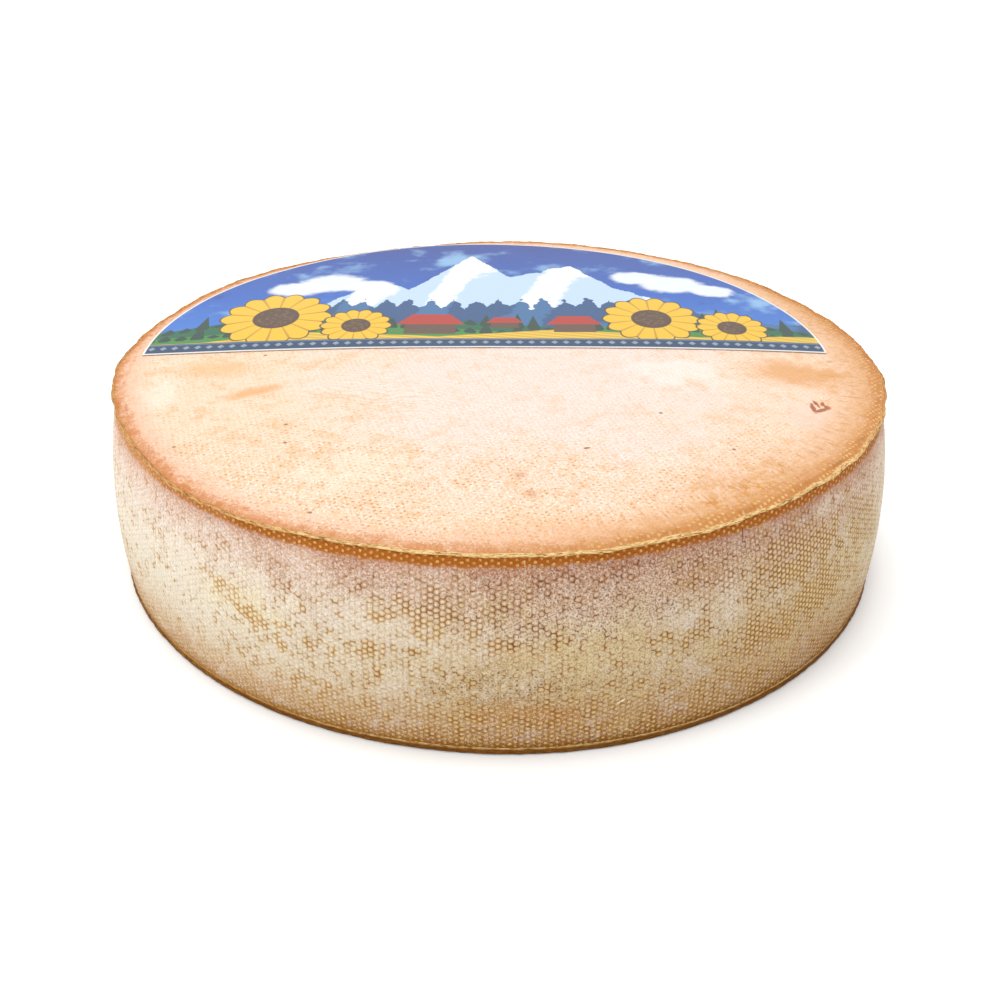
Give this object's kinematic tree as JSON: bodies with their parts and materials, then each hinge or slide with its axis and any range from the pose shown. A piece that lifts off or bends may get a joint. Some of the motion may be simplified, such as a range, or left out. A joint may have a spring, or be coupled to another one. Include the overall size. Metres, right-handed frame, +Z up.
{
  "type": "washed-rind cheese wheel",
  "caption": "Whole low wheel of washed-rind cheese with a cloth-patterned, bloomed rind, ragged top and foot lips and a half-round printed paper label on top",
  "frame": {"origin": "middle of the underside, at the bottom centre of the whole object's box, on the surface it rests on", "axes": "+Z up along the wheel's axis and its shortest side; the label lies on the half of the top towards +Y, and the pictured side faces -Y"},
  "size_m": [0.3188, 0.318, 0.0806],
  "materials": {
    "rind": "washed natural rind, orange-brown under a thin pale bloom, pressed with fine hexagon nubs; matte_plastic stands in for food",
    "label_paper": "thin printed paper with a slight sheen, sky blues with white, yellow, green, red and navy fields"
  },
  "bodies": {
    "root": {"cheese_wheel": "rind", "label": "label_paper"}
  },
  "joints": []
}
